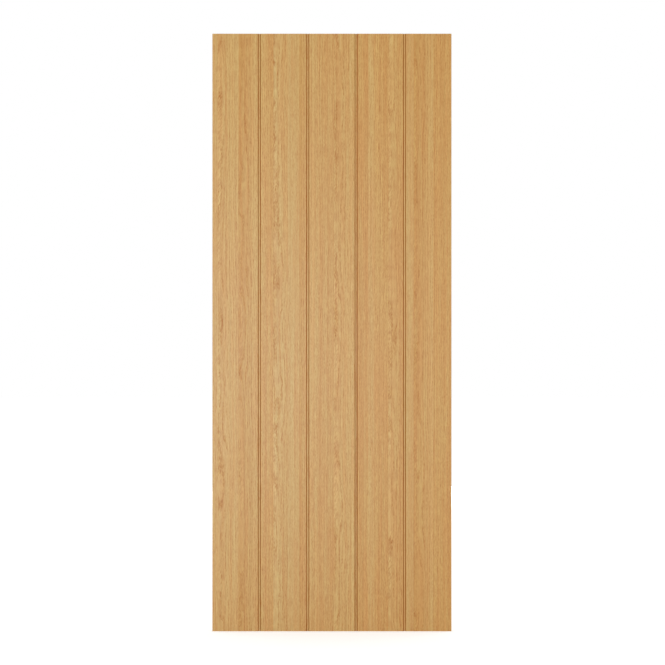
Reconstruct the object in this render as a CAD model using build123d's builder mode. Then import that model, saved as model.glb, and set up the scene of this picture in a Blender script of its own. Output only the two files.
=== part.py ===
from build123d import *
from math import hypot
import os

# A planked oak interior door leaf, in millimetres.
#
# The leaf is a flush door: a softwood frame round a solid core, a fibreboard skin on each side, an
# oak lipping along each long edge, and oak veneer over both faces. Four grooves run the full height
# of each face and divide it into five equal planks. The veneer is pressed down into the grooves,
# and the sheets of neighbouring planks meet out of sight along the middle of each groove's floor.
#
# The origin is on the hinge edge, at the foot of the leaf and half-way through its thickness.
# X runs across the leaf to the lock edge, Y runs from the front to the back, and Z is up.

# The leaf
leaf_width = 813.0
leaf_height = 2032.0
leaf_thickness = 35.0

# The planked faces
plank_count = 5
groove_width = 9.5  # across the mouth, from one plank's face to the next
groove_floor_width = 5.5
groove_depth = 3.0
cove_radius = 1.0  # where the show side bends from a groove's side to its floor
skin_edge_radius = 0.4  # on the skin's routed edge, which the veneer is bent over
veneer_thickness = 0.6
veneer_square_edge = 0.2  # left square where the veneer is sanded off at the leaf's edges
skin_thickness = 6.0

# The lippings and the frame between the skins
lipping_width = 8.0
stile_width = 34.0
top_rail_height = 70.0
bottom_rail_height = 95.0

# What follows from those sizes
face_offset = leaf_thickness / 2  # from the middle of the leaf to a show face
frame_thickness = leaf_thickness - 2 * (veneer_thickness + skin_thickness)
lipping_depth = leaf_thickness - 2 * veneer_thickness
edge_bevel = veneer_thickness - veneer_square_edge
plank_width = (leaf_width - (plank_count - 1) * groove_width) / plank_count
groove_centres = [n * (plank_width + groove_width) - groove_width / 2 for n in range(1, plank_count)]
sheet_bounds = [0, *groove_centres, leaf_width]
groove_slope = (groove_width - groove_floor_width) / 2
rail_length = leaf_width - 2 * (lipping_width + stile_width)
core_height = leaf_height - bottom_rail_height - top_rail_height

mid_width = Plane.YZ.offset(leaf_width / 2)
mid_thickness = Plane.XZ


def face_line(start, end, inset=0.0):
    """Draw the front face's line from one place across the leaf to another.

    The line dips into every groove on its way. It lies inset below the show face and is parallel to
    it all along, so the bends of two such lines share their centres.
    """
    spread = inset * (hypot(groove_slope, groove_depth) - groove_slope) / groove_depth
    mouth, floor = groove_width / 2 + spread, groove_floor_width / 2 + spread
    face_y, floor_y = inset - face_offset, inset - face_offset + groove_depth
    edge_bend, cove_bend = skin_edge_radius + veneer_thickness - inset, cove_radius + inset

    bends = []
    for centre in groove_centres:
        bends += [
            ((centre - mouth, face_y), edge_bend),
            ((centre - floor, floor_y), cove_bend),
            ((centre + floor, floor_y), cove_bend),
            ((centre + mouth, face_y), edge_bend),
        ]
    bends = [(point, radius) for point, radius in bends if start < point[0] < end]
    ends = [(x, floor_y if x in groove_centres else face_y) for x in (start, end)]
    return FilletPolyline(
        ends[0], *[point for point, _ in bends], ends[1], radius=[radius for _, radius in bends]
    )


def write(builder, name):
    """Label a finished piece and write it to its own file."""
    builder.part.label = name
    export_step(builder.part, f"parts/{name}.step")


os.makedirs("parts", exist_ok=True)

# Veneer: one bent sheet to each plank, from the middle of one groove's floor to the middle of the
# next. The outermost sheets run to the leaf's edges, where their arris is sanded to a fine bevel.
for number, (start, end) in enumerate(zip(sheet_bounds, sheet_bounds[1:]), 1):
    with BuildPart() as front_veneer:
        with BuildSketch():
            with BuildLine():
                show_side = face_line(start, end)
                glue_side = face_line(start, end, veneer_thickness)
                Line(show_side @ 0, glue_side @ 0)
                Line(show_side @ 1, glue_side @ 1)
            make_face()
        extrude(amount=leaf_height)
        face_edges = front_veneer.edges().filter_by(Axis.Z).group_by(Axis.Y)[0].sort_by(Axis.X)
        if start == 0:
            chamfer(face_edges[0], length=edge_bevel)
        if end == leaf_width:
            chamfer(face_edges[-1], length=edge_bevel)
    with BuildPart() as back_veneer:
        mirror(front_veneer.part, about=mid_thickness)
    write(front_veneer, f"front_veneer_{number}")
    write(back_veneer, f"back_veneer_{number}")

# Skins: fibreboard sheets between the lippings, with the grooves routed in their outer sides
with BuildPart() as front_skin:
    with BuildSketch():
        with BuildLine():
            routed_side = face_line(lipping_width, leaf_width - lipping_width, veneer_thickness)
            Polyline(
                routed_side @ 0,
                (lipping_width, -frame_thickness / 2),
                (leaf_width - lipping_width, -frame_thickness / 2),
                routed_side @ 1,
            )
        make_face()
    extrude(amount=leaf_height)
with BuildPart() as back_skin:
    mirror(front_skin.part, about=mid_thickness)
write(front_skin, "front_skin")
write(back_skin, "back_skin")

# Lippings: solid oak, the full depth between the veneers, so only their edges show on the leaf
with BuildPart() as hinge_lipping:
    with BuildSketch():
        Rectangle(lipping_width, lipping_depth, align=(Align.MIN, Align.CENTER))
    extrude(amount=leaf_height)
with BuildPart() as lock_lipping:
    mirror(hinge_lipping.part, about=mid_width)
write(hinge_lipping, "hinge_lipping")
write(lock_lipping, "lock_lipping")

# Stiles: full-height softwood, glued to the backs of the lippings
with BuildPart() as hinge_stile:
    with BuildSketch():
        with Locations((lipping_width, 0)):
            Rectangle(stile_width, frame_thickness, align=(Align.MIN, Align.CENTER))
    extrude(amount=leaf_height)
with BuildPart() as lock_stile:
    mirror(hinge_stile.part, about=mid_width)
write(hinge_stile, "hinge_stile")
write(lock_stile, "lock_stile")

# Rails: butted between the stiles at the head and the foot, flush with the leaf's ends
with BuildPart() as bottom_rail:
    with BuildSketch():
        with Locations((leaf_width / 2, 0)):
            Rectangle(rail_length, frame_thickness)
    extrude(amount=bottom_rail_height)
with BuildPart() as top_rail:
    with BuildSketch(Plane.XY.offset(leaf_height)):
        with Locations((leaf_width / 2, 0)):
            Rectangle(rail_length, frame_thickness)
    extrude(amount=-top_rail_height)
write(bottom_rail, "bottom_rail")
write(top_rail, "top_rail")

# Core: a solid particleboard slab that fills the frame
with BuildPart() as core:
    with BuildSketch(Plane.XY.offset(bottom_rail_height)):
        with Locations((leaf_width / 2, 0)):
            Rectangle(rail_length, frame_thickness)
    extrude(amount=core_height)
write(core, "core")
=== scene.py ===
"""The looks of a planked oak interior door leaf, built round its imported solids.

Each plank's sheet of oak veneer is worked out with numpy and stands for its plain solid. The sheet
knows, at every corner, where in the log its wood grew, so the oak's growth rings come out as arches
on a crown-cut leaf and as straight lines on a quarter-cut one. The lippings, skins, frame and core
keep their solids and get materials of their own. Lengths are in metres, in the frame of the solids:
X runs across the leaf, Y from its front to its back, and Z up. The sizes of a wood's marks are in
millimetres.
"""

import logging
import math
from collections.abc import Mapping, Sequence
from dataclasses import dataclass
from enum import Enum, IntEnum

import bpy
import numpy as np
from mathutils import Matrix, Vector


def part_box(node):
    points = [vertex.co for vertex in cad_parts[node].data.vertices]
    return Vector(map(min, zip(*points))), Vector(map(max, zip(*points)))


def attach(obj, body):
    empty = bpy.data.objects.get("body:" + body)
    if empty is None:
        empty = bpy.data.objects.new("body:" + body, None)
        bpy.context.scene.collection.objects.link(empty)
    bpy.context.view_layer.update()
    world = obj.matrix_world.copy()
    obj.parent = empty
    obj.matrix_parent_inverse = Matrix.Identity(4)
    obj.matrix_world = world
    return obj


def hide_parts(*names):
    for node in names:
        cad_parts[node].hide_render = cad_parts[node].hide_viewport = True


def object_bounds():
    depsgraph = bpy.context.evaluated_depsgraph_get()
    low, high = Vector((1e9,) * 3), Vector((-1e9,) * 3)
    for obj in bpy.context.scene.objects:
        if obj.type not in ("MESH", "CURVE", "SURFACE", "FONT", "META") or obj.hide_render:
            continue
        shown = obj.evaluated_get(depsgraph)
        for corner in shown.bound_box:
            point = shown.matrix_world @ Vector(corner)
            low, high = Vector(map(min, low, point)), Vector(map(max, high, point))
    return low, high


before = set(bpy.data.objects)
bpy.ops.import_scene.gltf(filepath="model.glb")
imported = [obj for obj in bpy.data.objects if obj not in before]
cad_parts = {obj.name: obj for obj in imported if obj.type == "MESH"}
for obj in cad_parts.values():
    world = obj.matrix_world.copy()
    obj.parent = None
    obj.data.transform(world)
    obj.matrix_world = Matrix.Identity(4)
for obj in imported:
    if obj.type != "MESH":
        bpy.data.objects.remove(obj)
CAD_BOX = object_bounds()

LOG = logging.getLogger("door_leaf")
MM = 0.001
BODY = "root"
WHITE = "#FFFFFF"

Colour = tuple[float, float, float, float]
Place = tuple[float, float, float]
Socket = bpy.types.NodeSocket
Tree = bpy.types.NodeTree


def linear(hex_colour: str) -> Colour:
    """Turn an sRGB hex colour into the linear colour that shaders take.

    Args:
        hex_colour: the colour as "#RRGGBB".

    Returns:
        Linear red, green and blue, and an alpha of 1.
    """
    channels = [int(hex_colour[i : i + 2], 16) / 255 for i in (1, 3, 5)]
    red, green, blue = (c / 12.92 if c <= 0.04045 else ((c + 0.055) / 1.055) ** 2.4 for c in channels)
    return red, green, blue, 1.0


def add(
    tree: Tree,
    kind: str,
    inputs: Mapping[int | str, object] | None = None,
    out: int | str = 0,
    **settings: object,
) -> Socket:
    """Add a node, with its settings and links.

    Args:
        tree: the node tree that it goes into.
        kind: Blender's name for the node.
        inputs: for each input, a socket to link from or a value to set.
        out: which of the node's outputs is wanted.
        **settings: the node's own properties.

    Returns:
        The wanted output, or the node's first input if it has no outputs.
    """
    node = tree.nodes.new(kind)
    for name, value in settings.items():
        setattr(node, name, value)
    for key, value in (inputs or {}).items():
        if isinstance(value, bpy.types.NodeSocket):
            tree.links.new(value, node.inputs[key])
        else:
            node.inputs[key].default_value = value
    return node.outputs[out] if node.outputs else node.inputs[0]


def new_material(name: str) -> bpy.types.Material:
    """Make an empty node material.

    Args:
        name: the real material's name.

    Returns:
        The material, with no nodes in it yet.
    """
    material = bpy.data.materials.new(name)
    material.use_nodes = True
    material.node_tree.nodes.clear()
    return material


class Tone(Enum):
    """The shades that leaves of oak veneer come in, with the colour of the wood between its pores."""

    STRAW = "#CDAD6A"
    WHEAT = "#CDA964"
    HONEY = "#CCA661"
    GOLD = "#CAA25D"
    AMBER = "#C99D56"
    RUSSET = "#C89C54"
    UMBER = "#C4954B"


class Cut(Enum):
    """How a leaf was sliced from its log.

    The value is how far the leaf's left edge lay from the pith, sideways and in depth, in millimetres.
    """

    CROWN = (-4.0, 56.0)
    RIFT = (58.0, 62.0)
    QUARTER = (100.0, 16.0)


class Run(Enum):
    """Which way a solid piece's grain runs, as the turn that stands the grain upright."""

    UPRIGHT = (0.0, 0.0, 0.0)
    LEVEL = (0.0, math.pi / 2, 0.0)


class Side(Enum):
    """The leaf's two faces, and which way along Y each looks."""

    FRONT = -1
    BACK = 1


class Patch(IntEnum):
    """The parts of a veneer sheet's surface, in the order that they take in its bake map."""

    SHOW = 0
    GLUE = 1
    RIGHT_EDGE = 2
    LEFT_EDGE = 3
    FOOT = 4
    HEAD = 5


@dataclass(frozen=True)
class VeneerLeaf:
    """One sliced leaf of a plank's veneer.

    Its width is in millimetres on the plank's flat face. Its tone may change across it, and its
    figure is how strongly its pores and streaks show.
    """

    width: float
    cut: Cut
    tone: Tone
    far_tone: Tone | None = None
    figure: float = 1.0

    def colours(self) -> tuple[Place, Place]:
        """Give the linear colours at its left and right edges."""
        return linear(self.tone.value)[:3], linear((self.far_tone or self.tone).value)[:3]


@dataclass(frozen=True)
class Mark:
    """A kind of mark that runs with the grain, with its width and length in millimetres.

    It is taken from a noise stretched to that size, and comes up from nothing where the noise is at
    its start to its full strength where the noise is at its full. Its stain is how much it darkens
    the wood at full strength. Its detail is how many finer layers the noise has, and its fineness is
    how much each of them weighs against the one before.
    """

    across: float
    along: float
    start: float = 0.0
    full: float = 1.0
    stain: float = 0.0
    detail: float = 0.0
    fineness: float = 0.55


@dataclass(frozen=True)
class Grain:
    """What the nodes of a timber know about a point.

    Its place in the log is bent as the grain is, and its rings are counted from the pith. Its season
    is how far through its ring it is, and its growth is a chance number that its ring has.
    """

    place: Socket
    rings: Socket
    season: Socket
    growth: Socket


@dataclass(frozen=True)
class Timber:
    """A wood as a solid that any slice goes through, with its growth rings as shells round the pith.

    Lengths are in millimetres. The ring is a year's growth, and the sway and the ripple are how far
    the grain wanders sideways in slow bends and in quick ones.
    """

    ring: float
    sway: float
    ripple: float
    slow_bend: Mark = Mark(60, 380, detail=1.0)
    quick_bend: Mark = Mark(10, 60, detail=1.0)

    def noise(self, tree: Tree, spot: Socket, mark: Mark, out: str = "Fac") -> Socket:
        """Draw the noise that a mark is taken from.

        Args:
            tree: the material's nodes.
            spot: the place, counted in the mark's widths and lengths.
            mark: the kind of mark.
            out: which output of the noise is wanted.

        Returns:
            A noise that lies round a half.
        """
        settings = {"Vector": spot, "Scale": 1.0, "Detail": mark.detail, "Roughness": mark.fineness}
        return add(tree, "ShaderNodeTexNoise", settings, out=out)

    def spot(self, tree: Tree, place: Socket, mark: Mark) -> Socket:
        """Count a place in the widths and lengths of a mark that runs straight up the log."""
        size = (mark.across * MM, mark.across * MM, mark.along * MM)
        return add(tree, "ShaderNodeVectorMath", {0: place, 1: size}, operation="DIVIDE")

    def streaks(self, tree: Tree, place: Socket, mark: Mark) -> Socket:
        """Draw marks that run straight up the log.

        Args:
            tree: the material's nodes.
            place: the place in the log.
            mark: the kind of mark.

        Returns:
            The marks, from 0 to 1.
        """
        noise = self.noise(tree, self.spot(tree, place, mark), mark)
        return add(tree, "ShaderNodeMapRange", {0: noise, 1: mark.start, 2: mark.full})

    def ring_strokes(self, tree: Tree, grain: Grain, mark: Mark) -> Socket:
        """Draw marks that keep to the rings, and so lean and spread where a slice runs along them.

        A mark's width is counted outwards through the rings, and its length up the log.

        Args:
            tree: the material's nodes.
            grain: the place in the log and its rings.
            mark: the kind of mark.

        Returns:
            The marks, from 0 to 1.
        """
        height = add(tree, "ShaderNodeSeparateXYZ", {0: grain.place}, out="Z")
        widths = {0: grain.rings, 1: self.ring / mark.across}
        lengths = {0: height, 1: mark.along * MM}
        spot = {
            0: add(tree, "ShaderNodeMath", widths, operation="MULTIPLY"),
            2: add(tree, "ShaderNodeMath", lengths, operation="DIVIDE"),
        }
        noise = self.noise(tree, add(tree, "ShaderNodeCombineXYZ", spot), mark)
        return add(tree, "ShaderNodeMapRange", {0: noise, 1: mark.start, 2: mark.full})

    def bent(self, tree: Tree, place: Socket, bend: Mark, reach: float) -> Socket:
        """Shift a place sideways in the log, by the noise's distance from its middle.

        Args:
            tree: the material's nodes.
            place: the place in the log.
            bend: how wide and long the bends are.
            reach: the furthest shift, in millimetres.

        Returns:
            The shifted place.
        """
        noise = self.noise(tree, self.spot(tree, place, bend), bend, "Color")
        middle = (0.5, 0.5, 0.5)
        off = add(tree, "ShaderNodeVectorMath", {0: noise, 1: middle}, operation="SUBTRACT")
        shift = {0: off, 1: (2 * reach * MM, 2 * reach * MM, 0.0), 2: place}
        return add(tree, "ShaderNodeVectorMath", shift, operation="MULTIPLY_ADD")

    def grain(self, tree: Tree, place: Socket) -> Grain:
        """Find the growth rings: how far a point is from the pith, counted in rings.

        Args:
            tree: the material's nodes.
            place: the place in the log.

        Returns:
            What there is to know about the point.
        """
        bent = self.bent(tree, place, self.slow_bend, self.sway)
        bent = self.bent(tree, bent, self.quick_bend, self.ripple)
        flat = add(tree, "ShaderNodeVectorMath", {0: bent, 1: (1.0, 1.0, 0.0)}, operation="MULTIPLY")
        radius = add(tree, "ShaderNodeVectorMath", {0: flat}, out="Value", operation="LENGTH")
        rings = add(tree, "ShaderNodeMath", {0: radius, 1: self.ring * MM}, operation="DIVIDE")
        year = add(tree, "ShaderNodeMath", {0: rings}, operation="FLOOR")
        season = add(tree, "ShaderNodeMath", {0: rings}, operation="FRACT")
        growth = add(tree, "ShaderNodeTexWhiteNoise", {"W": year}, out="Value", noise_dimensions="1D")
        return Grain(bent, rings, season, growth)

    def solid_place(self, tree: Tree, run: Run, pith: Place) -> Socket:
        """Find the place in the log of a point of a solid piece.

        Args:
            tree: the material's nodes.
            run: which way the grain runs.
            pith: how far the piece's origin is from the log's, in metres, with the grain upright.

        Returns:
            The place in the log.
        """
        point = add(tree, "ShaderNodeTexCoord", out="Object")
        moved = {"Vector": point, "Location": pith, "Rotation": run.value}
        return add(tree, "ShaderNodeMapping", moved)

    def total(self, tree: Tree, start: float, shares: Sequence[tuple[Socket, float]]) -> Socket:
        """Add up marks: each times its share, on top of a start.

        Args:
            tree: the material's nodes.
            start: the total with no mark.
            shares: the marks and their shares.

        Returns:
            The total.
        """
        total: Socket | float = start
        for mark, share in shares:
            total = add(tree, "ShaderNodeMath", {0: mark, 1: share, 2: total}, operation="MULTIPLY_ADD")
        return total


@dataclass(frozen=True)
class Oak(Timber):
    """Oak under a clear satin lacquer.

    Each ring starts with a band of open pores, which look like short dark dashes along the grain,
    and ends in plainer, paler wood. Slow flushes of pink run through it, and the lacquer lays a soft
    sheen over all. The pores are about as wide as real ones. Dashes, strokes and streaks are drawn a
    few times as wide as real ones, so that they show in a picture of the whole leaf.
    """

    ring: float = 4.2
    sway: float = 11.0
    ripple: float = 1.7

    # The marks, and what else stains the wood
    pore: Mark = Mark(0.5, 9, 0.52, 0.62, stain=0.18)
    dash: Mark = Mark(1.7, 9, 0.38, 0.66, stain=0.18)
    ring_stroke: Mark = Mark(1.2, 34, 0.38, 0.66, stain=0.26)
    short_streak: Mark = Mark(1.8, 36, stain=0.54)
    long_streak: Mark = Mark(2.1, 1300, stain=0.65)
    pore_band: float = 0.5  # the early part of a ring that holds its pores
    band_stain: float = 0.10
    band_dash_stain: float = 0.40
    growth_stain: float = 0.12  # of the rings' chance numbers
    mean_of_marks: float = 1.01  # what all these stains come to on the whole
    mean_stain: float = 0.30  # and what that darkens the wood by
    pore_stain: str = "#AF6E25"
    painted_groove_shade: str = "#C49600"  # painted shade on the grooves' steep sides, multiplied into the leaf's colour

    # The spine of a crown-cut leaf, where the slice runs along a ring and its strokes lean
    spine_stroke: Mark = Mark(2.4, 12, 0.40, 0.62, stain=0.50)
    spine_stretch: Mark = Mark(40, 240, 0.40, 0.60)
    spine_lean: float = 0.30  # radians
    spine_inner: float = 4.0  # where the strokes start to fade, sideways from the pith
    spine_outer: float = 13.0  # and where they are gone

    # The wood and its lacquer
    heart_streak: Mark = Mark(10, 420, 0.35, 0.65, detail=1.0)
    heart_tint: str = "#FFF2EA"
    solid_colour: str = "#CBA260"
    roughness: float = 0.36
    bare_roughness: float = 1.0  # where the lacquer has run off
    pore_bareness: float = 0.22  # how far it has run off the pores
    refraction: float = 1.5
    relief: float = 0.06
    relief_strength: float = 0.6

    def sliced(self) -> bpy.types.Material:
        """Make the oak of veneer leaves, which say themselves where they grew and how pale they are.

        Returns:
            The material.
        """
        material = new_material("lacquered oak veneer")
        tree = material.node_tree
        place = add(tree, "ShaderNodeAttribute", out="Vector", attribute_name="log_place")
        leaf = add(tree, "ShaderNodeAttribute", out="Color", attribute_name="leaf_colour")
        figure = add(tree, "ShaderNodeAttribute", out="Fac", attribute_name="leaf_figure")
        tilt = add(tree, "ShaderNodeAttribute", out="Fac", attribute_name="groove_side")
        # Painted shade: on the grooves' steep sides, the leaf's colour is multiplied by the groove
        # shade colour
        stain = {0: tilt, 6: leaf, 7: linear(self.painted_groove_shade)}
        body = add(tree, "ShaderNodeMix", stain, out=2, data_type="RGBA", blend_type="MULTIPLY")
        self.lacquered(tree, place, body, figure, tilt)
        return material

    def solid(self, run: Run, pith: Place) -> bpy.types.Material:
        """Make solid oak.

        Args:
            run: which way the grain runs.
            pith: how far the piece's origin is from the log's.

        Returns:
            The material.
        """
        material = new_material("lacquered solid oak")
        tree = material.node_tree
        self.lacquered(tree, self.solid_place(tree, run, pith), linear(self.solid_colour), 1.0, 0.0)
        return material

    def spine_strokes(self, tree: Tree, place: Socket, grain: Grain) -> Socket:
        """Draw the strokes that lean across a crown-cut leaf's spine.

        They fade out sideways from the spine, come and go along it, and pale the wood as much as they
        darken it.

        Args:
            tree: the material's nodes.
            place: the place in the log.
            grain: the same, bent, with its rings.

        Returns:
            The strokes, from minus a half to a half.
        """
        lean = (0.0, -self.spine_lean, 0.0)
        leaning = add(tree, "ShaderNodeMapping", {"Vector": grain.place, "Rotation": lean})
        strokes = self.streaks(tree, leaning, self.spine_stroke)
        strokes = add(tree, "ShaderNodeMath", {0: strokes, 1: 0.5}, operation="SUBTRACT")
        aside = add(tree, "ShaderNodeSeparateXYZ", {0: grain.place}, out="X")
        aside = add(tree, "ShaderNodeMath", {0: aside}, operation="ABSOLUTE")
        fade = {0: aside, 1: self.spine_inner * MM, 2: self.spine_outer * MM, 3: 1.0, 4: 0.0}
        spine = add(tree, "ShaderNodeMapRange", fade, interpolation_type="SMOOTHSTEP")
        stretch = self.streaks(tree, place, self.spine_stretch)
        spine = add(tree, "ShaderNodeMath", {0: spine, 1: stretch}, operation="MULTIPLY")
        return add(tree, "ShaderNodeMath", {0: strokes, 1: spine}, operation="MULTIPLY")

    def stain(self, tree: Tree, place: Socket, grain: Grain, band: Socket, pores: Socket) -> Socket:
        """Add up how much the marks darken the wood, less what they darken it by on the whole.

        Args:
            tree: the material's nodes.
            place: the place in the log.
            grain: the same, bent, with its rings.
            band: how deep the point is in its ring's band of pores.
            pores: the open pores.

        Returns:
            The stain, which lies round nought.
        """
        dashes = self.streaks(tree, grain.place, self.dash)
        band_dashes = add(tree, "ShaderNodeMath", {0: dashes, 1: band}, operation="MULTIPLY")
        shares = (
            (band, self.band_stain),
            (pores, self.pore.stain),
            (grain.growth, self.growth_stain),
            (self.streaks(tree, place, self.long_streak), self.long_streak.stain),
            (self.streaks(tree, grain.place, self.short_streak), self.short_streak.stain),
            (dashes, self.dash.stain),
            (band_dashes, self.band_dash_stain),
            (self.ring_strokes(tree, grain, self.ring_stroke), self.ring_stroke.stain),
            (self.spine_strokes(tree, place, grain), self.spine_stroke.stain),
        )
        return self.total(tree, -self.mean_of_marks, shares)

    def lacquered(
        self,
        tree: Tree,
        place: Socket,
        body: Socket | Colour,
        figure: Socket | float,
        bareness: Socket | float,
    ) -> None:
        """Put the oak's figure and its lacquer on a material.

        Args:
            tree: the material's nodes.
            place: the place in the log.
            body: the colour of the wood between its pores.
            figure: how strongly pores and streaks show.
            bareness: how far the lacquer has run off, from 0 to 1.
        """
        grain = self.grain(tree, place)
        fade = {0: grain.season, 1: 0.0, 2: self.pore_band, 3: 1.0, 4: 0.0}
        band = add(tree, "ShaderNodeMapRange", fade, interpolation_type="SMOOTHSTEP")
        pores = self.streaks(tree, grain.place, self.pore)
        pores = add(tree, "ShaderNodeMath", {0: pores, 1: band}, operation="MULTIPLY")
        stain = {0: self.stain(tree, place, grain, band, pores), 1: figure, 2: self.mean_stain}
        stain = add(tree, "ShaderNodeMath", stain, operation="MULTIPLY_ADD")
        heart = self.streaks(tree, grain.place, self.heart_streak)
        tinted = {0: heart, 6: body, 7: linear(self.heart_tint)}
        body = add(tree, "ShaderNodeMix", tinted, out=2, data_type="RGBA", blend_type="MULTIPLY")
        stained = {0: stain, 6: body, 7: linear(self.pore_stain)}
        # Left unclamped, so that wood with few marks comes out paler than its body colour
        colour = add(tree, "ShaderNodeMix", stained, out=2, data_type="RGBA", clamp_factor=False)
        bare = {0: pores, 1: self.pore_bareness, 2: bareness}
        bare = add(tree, "ShaderNodeMath", bare, operation="MULTIPLY_ADD")
        gloss = {0: bare, 3: self.roughness, 4: self.bare_roughness}
        # The surface rises through each ring, and sinks at the pores
        height = {0: pores, 1: -1.0, 2: grain.season}
        relief = {
            "Strength": self.relief_strength,
            "Distance": self.relief * MM,
            "Height": add(tree, "ShaderNodeMath", height, operation="MULTIPLY_ADD"),
        }
        surface = {
            "Base Color": colour,
            "Roughness": add(tree, "ShaderNodeMapRange", gloss),
            "IOR": self.refraction,
            "Normal": add(tree, "ShaderNodeBump", relief),
        }
        shader = add(tree, "ShaderNodeBsdfPrincipled", surface)
        add(tree, "ShaderNodeOutputMaterial", {"Surface": shader})


@dataclass(frozen=True)
class Pine(Timber):
    """Planed softwood: pale rings that each end in a narrow reddish line, with a dull bare surface."""

    ring: float = 3.4
    sway: float = 4.0
    ripple: float = 0.5
    fibre: Mark = Mark(0.7, 40, stain=0.5)
    late_band: float = 0.6  # the part of a ring over which it darkens
    late_stain: float = 0.6
    growth_stain: float = 0.2
    mean_of_marks: float = 0.25
    early_wood: str = "#E2C191"
    late_wood: str = "#B98754"
    roughness: float = 0.6
    refraction: float = 1.5

    def solid(self, run: Run, pith: Place) -> bpy.types.Material:
        """Make solid softwood.

        Args:
            run: which way the grain runs.
            pith: how far the piece's origin is from the log's.

        Returns:
            The material.
        """
        material = new_material("planed softwood")
        tree = material.node_tree
        grain = self.grain(tree, self.solid_place(tree, run, pith))
        fade = {0: grain.season, 1: 1.0 - self.late_band, 2: 1.0}
        late = add(tree, "ShaderNodeMapRange", fade, interpolation_type="SMOOTHSTEP")
        shares = (
            (late, self.late_stain),
            (grain.growth, self.growth_stain),
            (self.streaks(tree, grain.place, self.fibre), self.fibre.stain),
        )
        stain = self.total(tree, -self.mean_of_marks, shares)
        shades = {0: stain, 6: linear(self.early_wood), 7: linear(self.late_wood)}
        colour = add(tree, "ShaderNodeMix", shades, out=2, data_type="RGBA")
        surface = {"Base Color": colour, "Roughness": self.roughness, "IOR": self.refraction}
        shader = add(tree, "ShaderNodeBsdfPrincipled", surface)
        add(tree, "ShaderNodeOutputMaterial", {"Surface": shader})
        return material


@dataclass(frozen=True)
class PressedBoard:
    """Wood pressed into a board: matte brown, with its flecks of fibre or chip all lying at random.

    Lengths are in millimetres. Each fleck is a cell with a chance shade between two browns.
    """

    name: str
    fleck: Place
    pale: str
    dark: str
    roughness: float = 0.75
    refraction: float = 1.45

    def material(self) -> bpy.types.Material:
        """Make the board's material.

        Returns:
            The material.
        """
        material = new_material(self.name)
        tree = material.node_tree
        point = add(tree, "ShaderNodeTexCoord", out="Object")
        size = [length * MM for length in self.fleck]
        cells = add(tree, "ShaderNodeVectorMath", {0: point, 1: size}, operation="DIVIDE")
        shade = add(tree, "ShaderNodeTexVoronoi", {"Vector": cells, "Scale": 1.0}, out="Color")
        shades = {0: shade, 6: linear(self.pale), 7: linear(self.dark)}
        colour = add(tree, "ShaderNodeMix", shades, out=2, data_type="RGBA")
        surface = {"Base Color": colour, "Roughness": self.roughness, "IOR": self.refraction}
        shader = add(tree, "ShaderNodeBsdfPrincipled", surface)
        add(tree, "ShaderNodeOutputMaterial", {"Surface": shader})
        return material


@dataclass(frozen=True)
class SheetLine:
    """A veneer sheet's section, point by point: its show side, its glue side and how steep each is."""

    show: np.ndarray
    glue: np.ndarray
    tilt: np.ndarray

    def mirrored(self) -> "SheetLine":
        """Give the same line with left and right exchanged."""
        turn = np.array([-1.0, 1.0])
        return SheetLine(self.show[::-1] * turn, self.glue[::-1] * turn, self.tilt[::-1])

    def shifted(self, x: float) -> "SheetLine":
        """Give the same line moved along X."""
        step = np.array([x, 0.0])
        return SheetLine(self.show + step, self.glue + step, self.tilt)

    def joined(self, *others: "SheetLine") -> "SheetLine":
        """Give this line with others put on after it."""
        lines = (self, *others)
        return SheetLine(
            np.concatenate([line.show for line in lines]),
            np.concatenate([line.glue for line in lines]),
            np.concatenate([line.tilt for line in lines]),
        )


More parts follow.
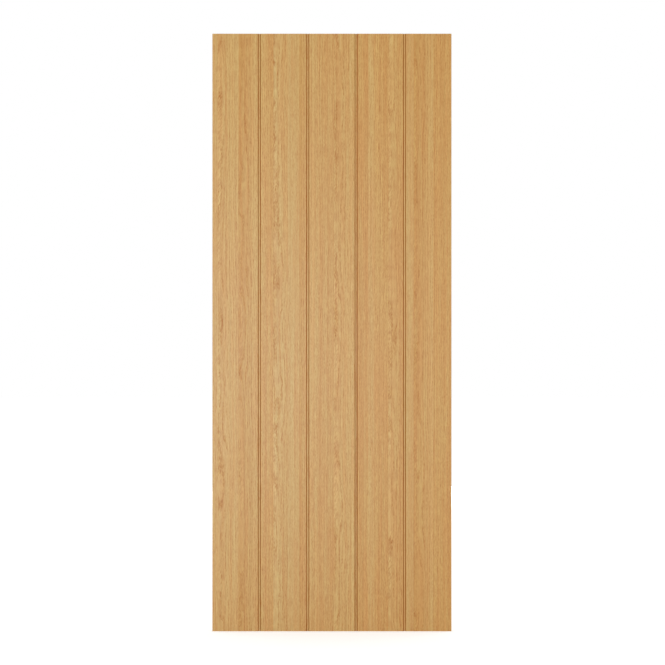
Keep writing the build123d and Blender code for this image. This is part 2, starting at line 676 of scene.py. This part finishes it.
@dataclass(frozen=True)
class PlankSheet:
    """One plank's sheet: a section carried straight up the leaf in strips, cut from leaves of veneer.

    Vertex (k, i) of its grid is point i of the closed section, the show side and then the glue side
    back again, at height k. What it works out for corners has a row for each face and a column for
    each of the face's four corners. Its bounds are where its leaves start and end on the plank's
    face, and its log starts are the heights in the log of their feet.
    """

    line: SheetLine
    heights: np.ndarray
    leaves: Sequence[VeneerLeaf]
    bounds: np.ndarray
    log_starts: np.ndarray
    thickness: float

    # The columns of its bake map, as shares of the map
    show_share: float = 0.94
    strip_fill: float = 0.99  # of a strip's own share, with the rest as a gap
    glue_start: float = 0.943
    glue_width: float = 0.027
    edge_starts: tuple[float, ...] = (0.974, 0.981, 0.988, 0.995)  # of the two edges, foot and head
    edge_width: float = 0.004
    map_margin: float = 0.001

    @property
    def count(self) -> int:
        """How many points each side of the section has."""
        return len(self.line.show)

    @property
    def loop(self) -> int:
        """How many points the closed section has, all round."""
        return 2 * self.count

    @property
    def strips(self) -> int:
        """How many strips the sheet has up its height."""
        return len(self.heights) - 1

    def vertices(self, face_y: float, facing: int) -> np.ndarray:
        """Place the grid's vertices: the section's points, repeated at every height.

        Args:
            face_y: where the plank's face lies.
            facing: which way along Y the face looks.

        Returns:
            An array of points, height by height.
        """
        section = np.concatenate([self.line.show, self.line.glue[::-1]])
        grid = np.empty((len(self.heights), len(section), 3))
        grid[..., 0] = section[:, 0]
        grid[..., 1] = face_y + facing * section[:, 1]
        grid[..., 2] = self.heights[:, None]
        return grid.reshape(-1, 3)

    def quads(self) -> np.ndarray:
        """Join neighbours on the grid into walls, strip by strip, then close the foot and the head.

        Returns:
            The four vertices of each face.
        """
        loop = self.loop
        around = np.arange(loop)
        ahead = np.roll(around, -1)
        row = np.arange(self.strips)[:, None] * loop
        walls = np.stack([row + around, row + ahead, row + ahead + loop, row + around + loop], -1)
        span = np.arange(self.count - 1)
        foot = np.stack([span, loop - 1 - span, loop - 2 - span, span + 1], -1)
        head = foot[:, ::-1] + self.strips * loop
        return np.concatenate([walls.reshape(-1, 4), foot, head])

    def spans(self) -> np.ndarray:
        """Find which step of the section each face stands on, counted from the left.

        Returns:
            A number for each face.
        """
        around = np.arange(self.loop)
        wall = np.clip(np.minimum(around, self.loop - 2 - around), 0, self.count - 2)
        cap = np.arange(self.count - 1)
        return np.concatenate([np.tile(wall, self.strips), cap, cap])

    def patches(self) -> np.ndarray:
        """Find which patch of the sheet's surface each face is on.

        Returns:
            A patch for each face.
        """
        steps = self.count - 1
        wall = [Patch.SHOW] * steps + [Patch.RIGHT_EDGE] + [Patch.GLUE] * steps + [Patch.LEFT_EDGE]
        return np.array(wall * self.strips + [Patch.FOOT] * steps + [Patch.HEAD] * steps)

    def corners(self) -> tuple[np.ndarray, np.ndarray, np.ndarray]:
        """Sort the corners: each one's height, its point along the sheet, and whether it is glued.

        Returns:
            The numbers of the heights, the numbers of the points, and true on the glue side.
        """
        level, point = np.divmod(self.quads(), self.loop)
        glued = point >= self.count
        return level, np.where(glued, self.loop - 1 - point, point), glued

    def along(self) -> np.ndarray:
        """Give each point's distance along the show side, from the sheet's left end."""
        steps = np.linalg.norm(np.diff(self.line.show, axis=0), axis=1)
        return np.concatenate([[0.0], np.cumsum(steps)])

    def face_leaves(self) -> np.ndarray:
        """Give the number of each face's leaf, as a column: the one under the middle of its step."""
        middles = (self.line.show[1:, 0] + self.line.show[:-1, 0]) / 2
        return np.searchsorted(self.bounds[1:-1], middles)[self.spans()][:, None]

    def leaf_edges(self) -> np.ndarray:
        """Give the distance of each bound along the show side, from the sheet's left end."""
        return np.interp(self.bounds, self.line.show[:, 0], self.along())

    def log_places(self) -> np.ndarray:
        """Find where in the log the wood at each corner grew.

        Sideways it is the cut's way plus the distance along the sheet from its leaf's left edge. In
        depth it is the cut's, plus the thickness on the glue side. In height it is the corner's, plus
        its leaf's start.

        Returns:
            The places of the corners.
        """
        level, point, glued = self.corners()
        leaf = self.face_leaves()
        cut = np.array([each.cut.value for each in self.leaves]) * MM
        sideways = cut[leaf, 0] + self.along()[point] - self.leaf_edges()[leaf]
        depth = cut[leaf, 1] + glued * self.thickness
        height = self.log_starts[leaf] + self.heights[level]
        return np.stack([sideways, depth, height], -1)

    def leaf_colours(self) -> np.ndarray:
        """Blend each leaf's two colours: at a corner, by its share of the way across its leaf.

        Returns:
            The linear colours of the corners.
        """
        point, leaf, edges = self.corners()[1], self.face_leaves(), self.leaf_edges()
        share = (self.along()[point] - edges[leaf]) / (edges[leaf + 1] - edges[leaf])
        share = np.clip(share, 0.0, 1.0)[..., None]
        colours = np.array([each.colours() for each in self.leaves])[leaf]
        return colours[:, :, 0] * (1 - share) + colours[:, :, 1] * share

    def leaf_figures(self) -> np.ndarray:
        """Give each corner the figure of its leaf."""
        figures = np.array([leaf.figure for leaf in self.leaves])
        return np.repeat(figures[self.face_leaves()], 4, axis=1)

    def groove_sides(self) -> np.ndarray:
        """Give how steep the sheet is at each corner."""
        return self.line.tilt[self.corners()[1]]

    def bake_map(self) -> np.ndarray:
        """Lay the faces out flat for baking.

        The show side's strips stand side by side over most of the square, so that the grain gets as
        many pixels as it can. The other patches stand in narrow columns beside them. A corner goes
        across its column by its share of the way along the sheet, or from the show side to the glue
        side on an edge or an end, and up it by its height, or along the sheet on an end.

        Returns:
            A pair of coordinates for each corner.
        """
        level, point, glued = self.corners()
        along = self.along()[point] / self.along()[-1]
        patch = self.patches()[:, None]
        strip = np.minimum(np.arange(len(patch)) // self.loop, self.strips - 1)[:, None]
        pitch = self.show_share / self.strips
        edge_widths = np.full(len(self.edge_starts), self.edge_width)
        starts = np.array([0.0, self.glue_start, *self.edge_starts])
        widths = np.array([self.strip_fill * pitch, self.glue_width, *edge_widths])
        start = starts[patch] + np.where(patch == Patch.SHOW, strip * pitch, 0.0)
        u = start + widths[patch] * np.where(patch <= Patch.GLUE, along, glued)
        upright = np.where(patch == Patch.SHOW, level - strip, level / self.strips)
        v = np.where(patch >= Patch.FOOT, along, upright)
        return self.map_margin + np.stack([u, v], -1) * (1 - 2 * self.map_margin)


@dataclass
class PlankedFace:
    """One face of the leaf: its planks' veneer sheets, which dip into the grooves between them."""

    side: Side
    planks: Sequence[Sequence[VeneerLeaf]]
    oak: bpy.types.Material
    groove_width: float = 9.5 * MM
    groove_floor: float = 5.5 * MM
    groove_depth: float = 3.0 * MM
    cove_radius: float = 1.0 * MM
    edge_radius: float = 1.0 * MM
    arris_radius: float = 0.4 * MM
    veneer: float = 0.6 * MM
    bend_steps: int = 7
    strips: int = 2
    groove_side_fade: float = 0.5  # how fast the painted shade and the dull lacquer on a groove's side fade as the side levels out
    log_step: float = 2.3  # from one leaf's foot to the next one's in the log
    plank_logs: int = 5  # such steps from plank to plank
    face_logs: int = 30  # and from face to face

    def groove_half(self) -> SheetLine:
        """Work out the sheet from the middle of a groove's floor up to the plank's face.

        The floor runs level, turns up through the cove by the side's slope, follows the side, and
        turns back over the edge by the same angle. On each arc a point is its centre plus the
        radius along the surface's normal, and the glue side has the same centres.

        Returns:
            The half groove, with X from the groove's middle and heights below the face.
        """
        run = (self.groove_width - self.groove_floor) / 2
        slope = math.atan2(self.groove_depth, run)
        turn = np.linspace(0.0, slope, self.bend_steps)
        reach = math.tan(slope / 2)
        normal = np.stack([-np.sin(turn), np.cos(turn)], axis=1)
        cove = np.array(
            [self.groove_floor / 2 - self.cove_radius * reach, self.cove_radius - self.groove_depth]
        )
        edge = np.array([self.groove_width / 2 + self.edge_radius * reach, -self.edge_radius])
        floor = np.array([[0.0, -self.groove_depth]])
        back = normal[::-1]
        show = [floor, cove - self.cove_radius * normal, edge + self.edge_radius * back]
        glue = [
            floor - [0.0, self.veneer],
            cove - (self.cove_radius + self.veneer) * normal,
            edge + (self.edge_radius - self.veneer) * back,
        ]
        # The side's steepness, which sets where the painted shade and the dull lacquer lie
        tilt = (np.sin(turn) / math.sin(slope)) ** self.groove_side_fade
        return SheetLine(
            np.concatenate(show), np.concatenate(glue), np.concatenate([[0.0], tilt, tilt[::-1]])
        )

    def arris(self) -> SheetLine:
        """Work out the sheet's outer end, a quarter round from the leaf's edge to its face.

        Returns:
            The end, with X from the leaf's edge and heights below the face.
        """
        turn = np.linspace(0.0, math.pi / 2, self.bend_steps)
        across = self.arris_radius * (1 - np.cos(turn))
        up = self.arris_radius * (np.sin(turn) - 1)
        show = np.stack([across, up], axis=1)
        glue = np.stack([across, np.full_like(across, -self.veneer)], axis=1)
        return SheetLine(show, glue, np.zeros_like(across))

    def sheet(self, number: int, leaves: Sequence[VeneerLeaf], low: Vector, high: Vector) -> PlankSheet:
        """Work out one plank's sheet: a groove or an arris, the joints on the flat, and the other end.

        Args:
            number: the plank's place from the hinge edge.
            leaves: its leaves of veneer, from left to right.
            low: the lower corner of its plain solid's box.
            high: the upper corner.

        Returns:
            The sheet.
        """
        first, last = number == 1, number == len(self.planks)
        left = (self.arris() if first else self.groove_half()).shifted(low.x)
        right = (self.arris() if last else self.groove_half()).mirrored().shifted(high.x)
        face_start = low.x if first else low.x + self.groove_width / 2
        bounds = face_start + np.cumsum([0.0, *(leaf.width * MM for leaf in leaves)])
        level = np.zeros(len(leaves) - 1)
        joints = np.stack([bounds[1:-1], level], axis=1)
        flat = SheetLine(joints, joints - [0.0, self.veneer], level)
        heights = np.linspace(low.z, high.z, self.strips + 1)
        before = self.plank_logs * number + (self.face_logs if self.side is Side.BACK else 0)
        log_starts = self.log_step * (before + np.arange(len(leaves)))
        return PlankSheet(left.joined(flat, right), heights, leaves, bounds, log_starts, self.veneer)

    def plank(self, number: int, leaves: Sequence[VeneerLeaf]) -> bpy.types.Object:
        """Make one plank's sheet of veneer, and dress it.

        The mesh carries, at each corner, where its wood grew, its leaf's colour and figure, and how
        steep it is, for the oak to read.

        Args:
            number: the plank's place from the hinge edge.
            leaves: its leaves of veneer, from left to right.

        Returns:
            The plank, riding on the leaf in place of its plain solid.
        """
        name = f"{self.side.name.lower()}_veneer_{number}"
        low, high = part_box(name)
        sheet = self.sheet(number, leaves, low, high)
        face_y = low.y if self.side is Side.FRONT else high.y
        outward = slice(None, None, -self.side.value)  # turns the back's faces round
        mesh = bpy.data.meshes.new(f"oak_{name}")
        mesh.from_pydata(sheet.vertices(face_y, self.side.value), [], sheet.quads()[:, outward])
        mesh.materials.append(self.oak)
        for note, kind, key, values in (
            ("log_place", "FLOAT_VECTOR", "vector", sheet.log_places()),
            ("leaf_colour", "FLOAT_VECTOR", "vector", sheet.leaf_colours()),
            ("leaf_figure", "FLOAT", "value", sheet.leaf_figures()),
            ("groove_side", "FLOAT", "value", sheet.groove_sides()),
        ):
            attribute = mesh.attributes.new(note, kind, "CORNER")
            attribute.data.foreach_set(key, values[:, outward].astype(np.float32).ravel())
        layer = mesh.uv_layers.new(name="OFBake")
        layer.uv.foreach_set("vector", sheet.bake_map()[:, outward].astype(np.float32).ravel())
        piece = bpy.data.objects.new(f"oak_{name}", mesh)
        bpy.context.scene.collection.objects.link(piece)
        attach(piece, BODY)
        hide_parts(name)
        return piece

    def build(self) -> list[bpy.types.Object]:
        """Make every plank's sheet on this face, from the hinge edge on."""
        return [self.plank(number, leaves) for number, leaves in enumerate(self.planks, 1)]


@dataclass(frozen=True)
class Board:
    """A solid wooden piece.

    It has its node's name, which way its grain runs, and how far its origin is from its log's.
    """

    node: str
    run: Run
    pith: Place


@dataclass
class Carcass:
    """What the veneers cover: the lippings, the skins, the frame and the core, on their own solids."""

    oak: Oak
    pine: Pine
    lippings: tuple[Board, ...] = (
        Board("hinge_lipping", Run.UPRIGHT, (0.06, 0.045, 0.4)),
        Board("lock_lipping", Run.UPRIGHT, (-0.74, 0.06, 3.1)),
    )
    framing: tuple[Board, ...] = (
        Board("hinge_stile", Run.UPRIGHT, (0.02, 0.05, 0.3)),
        Board("lock_stile", Run.UPRIGHT, (-0.83, -0.04, 2.7)),
        Board("top_rail", Run.LEVEL, (-1.95, 0.03, 1.6)),
        Board("bottom_rail", Run.LEVEL, (0.06, 0.04, 4.5)),
    )
    skins: tuple[str, ...] = ("front_skin", "back_skin")
    core: str = "core"
    fibreboard: PressedBoard = PressedBoard("fibreboard", (0.8, 0.5, 0.8), "#AF9270", "#8F7454")
    particleboard: PressedBoard = PressedBoard("particleboard", (6.0, 1.5, 6.0), "#C9AB7E", "#94734C")

    def dress(self) -> dict[str, bpy.types.Material]:
        """Give each solid a better material.

        Returns:
            The materials, by the names of their solids.
        """
        materials = {board.node: self.oak.solid(board.run, board.pith) for board in self.lippings}
        materials |= {board.node: self.pine.solid(board.run, board.pith) for board in self.framing}
        materials |= dict.fromkeys(self.skins, self.fibreboard.material())
        materials[self.core] = self.particleboard.material()
        for node, material in materials.items():
            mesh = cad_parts[node].data
            mesh.materials.clear()
            mesh.materials.append(material)
        return materials


@dataclass(frozen=True)
class Lamp:
    """A square soft lamp that looks at the middle of the leaf.

    Its place is from the middle of the leaf, and its level is what a white card held square to it
    there would show, where 1 is white.
    """

    name: str
    place: Place
    size: float
    level: float

    def hang(self, middle: Vector) -> bpy.types.Object:
        """Hang the lamp, with a power of its level times the square of pi times its distance.

        Args:
            middle: the middle of the leaf.

        Returns:
            The lamp.
        """
        offset = Vector(self.place)
        data = bpy.data.lights.new(self.name, "AREA")
        data.size = self.size
        data.energy = self.level * math.pi**2 * offset.length_squared
        lamp = bpy.data.objects.new(self.name, data)
        lamp.location = middle + offset
        lamp.rotation_euler = (-offset).to_track_quat("-Z", "Y").to_euler()
        lamp.visible_camera = False
        bpy.context.scene.collection.objects.link(lamp)
        return lamp


@dataclass
class Studio:
    """The plain white studio that the leaf stands in."""

    photo_side: int = 665  # pixels
    photo_scale: float = 3.4 * MM  # to a pixel
    lens: float = 135.0
    sensor: float = 36.0
    off_middle: float = 1.95 * MM  # to the right, so that the grooves lie as in the photograph
    ambient: float = 0.69  # the light from all round, where 1 is white
    floor_size: float = 60.0
    floor_colour: str = "#E6E6E6"
    floor_glow: float = 0.49  # what the camera sees on top of the floor's own light
    lamps: tuple[Lamp, ...] = (
        Lamp("sheen lamp", (-0.9, -8.0, -0.28), 1.2, 0.16),
        Lamp("back fill lamp", (0.9, 8.0, -0.28), 1.2, 0.16),
        Lamp("front left lamp", (-4.5, -4.5, 0.0), 2.5, 0.14),
        Lamp("front right lamp", (4.5, -4.5, 0.0), 2.5, 0.125),
        Lamp("back left lamp", (-4.5, 4.5, 0.0), 2.5, 0.125),
        Lamp("back right lamp", (4.5, 4.5, 0.0), 2.5, 0.14),
    )

    def camera(self, middle: Vector, face_y: float) -> bpy.types.Object:
        """Set the camera square to the front face, as far off as frames it as the photograph does.

        The distance is to the photograph's side, at the face, as the lens is to the sensor.

        Args:
            middle: the middle of the leaf.
            face_y: where its front face lies.

        Returns:
            The camera.
        """
        data = bpy.data.cameras.new("camera")
        data.lens = self.lens
        data.sensor_width = self.sensor
        distance = self.photo_side * self.photo_scale * self.lens / self.sensor
        camera = bpy.data.objects.new("camera", data)
        camera.location = (middle.x + self.off_middle, face_y - distance, middle.z)
        camera.rotation_euler = (math.pi / 2, 0.0, 0.0)
        bpy.context.scene.collection.objects.link(camera)
        bpy.context.scene.camera = camera
        return camera

    def world(self) -> None:
        """Light the leaf from all round, and show plain white to the camera."""
        world = bpy.data.worlds.new("white studio")
        bpy.context.scene.world = world
        world.use_nodes = True
        tree = world.node_tree
        tree.nodes.clear()
        seen = add(tree, "ShaderNodeLightPath", out="Is Camera Ray")
        strength = add(tree, "ShaderNodeMapRange", {0: seen, 3: self.ambient, 4: 1.0})
        light = add(tree, "ShaderNodeBackground", {"Color": linear(WHITE), "Strength": strength})
        add(tree, "ShaderNodeOutputWorld", {"Surface": light})

    def floor(self) -> bpy.types.Object:
        """Lay the floor: a square of matte white paint, which the camera sees white except in shadow.

        Returns:
            The floor.
        """
        square = np.array([[-1.0, -1.0, 0.0], [1.0, -1.0, 0.0], [1.0, 1.0, 0.0], [-1.0, 1.0, 0.0]])
        mesh = bpy.data.meshes.new("floor")
        mesh.from_pydata(square * self.floor_size / 2, [], [(0, 1, 2, 3)])
        material = new_material("matte white paint")
        tree = material.node_tree
        matte = add(tree, "ShaderNodeBsdfDiffuse", {"Color": linear(self.floor_colour)})
        seen = add(tree, "ShaderNodeLightPath", out="Is Camera Ray")
        lift = add(tree, "ShaderNodeMath", {0: seen, 1: self.floor_glow}, operation="MULTIPLY")
        glow = add(tree, "ShaderNodeEmission", {"Strength": lift})
        both = add(tree, "ShaderNodeAddShader", {0: matte, 1: glow})
        add(tree, "ShaderNodeOutputMaterial", {"Surface": both})
        mesh.materials.append(material)
        floor = bpy.data.objects.new("floor", mesh)
        bpy.context.scene.collection.objects.link(floor)
        return floor

    def build(self) -> None:
        """Set up the camera, the lamps, the world and the floor."""
        bpy.context.scene.view_settings.view_transform = "Standard"
        low, high = CAD_BOX
        middle = (low + high) / 2
        self.camera(middle, low.y)
        for lamp in self.lamps:
            lamp.hang(middle)
        self.world()
        self.floor()


# The front's leaves of veneer, plank by plank from the hinge edge
FRONT_PLANKS = (
    (
        VeneerLeaf(18, Cut.RIFT, Tone.HONEY),
        VeneerLeaf(71, Cut.CROWN, Tone.HONEY, Tone.WHEAT, figure=0.9),
        VeneerLeaf(66, Cut.CROWN, Tone.UMBER, Tone.WHEAT),
    ),
    (
        VeneerLeaf(43, Cut.RIFT, Tone.GOLD, Tone.AMBER, figure=1.2),
        VeneerLeaf(48, Cut.CROWN, Tone.STRAW, Tone.GOLD),
        VeneerLeaf(41, Cut.QUARTER, Tone.STRAW, Tone.HONEY, figure=0.8),
        VeneerLeaf(23, Cut.RIFT, Tone.UMBER, Tone.GOLD, figure=1.2),
    ),
    (
        VeneerLeaf(32, Cut.QUARTER, Tone.HONEY),
        VeneerLeaf(53, Cut.RIFT, Tone.GOLD),
        VeneerLeaf(70, Cut.CROWN, Tone.GOLD, Tone.WHEAT),
    ),
    (
        VeneerLeaf(37, Cut.RIFT, Tone.RUSSET, Tone.AMBER, figure=1.1),
        VeneerLeaf(20, Cut.QUARTER, Tone.WHEAT, Tone.GOLD),
        VeneerLeaf(48, Cut.RIFT, Tone.AMBER, Tone.RUSSET, figure=1.2),
        VeneerLeaf(50, Cut.CROWN, Tone.HONEY, Tone.RUSSET),
    ),
    (
        VeneerLeaf(27, Cut.QUARTER, Tone.WHEAT, Tone.GOLD, figure=0.8),
        VeneerLeaf(66, Cut.CROWN, Tone.UMBER, Tone.HONEY),
        VeneerLeaf(62, Cut.RIFT, Tone.RUSSET, figure=1.2),
    ),
)


def main() -> None:
    """Build the leaf's looks in order, and report each piece."""
    logging.basicConfig(level=logging.INFO, format="%(message)s")
    Studio().build()
    oak = Oak()
    veneer = oak.sliced()
    # The back's planks have the front's leaves, in the other order
    for side, planks in ((Side.FRONT, FRONT_PLANKS), (Side.BACK, FRONT_PLANKS[::-1])):
        for piece in PlankedFace(side, planks, veneer).build():
            LOG.info("%s: %d faces", piece.name, len(piece.data.polygons))
    for node, material in Carcass(oak, Pine()).dress().items():
        LOG.info("%s: dressed in %s", node, material.name)


if __name__ == "__main__":
    main()
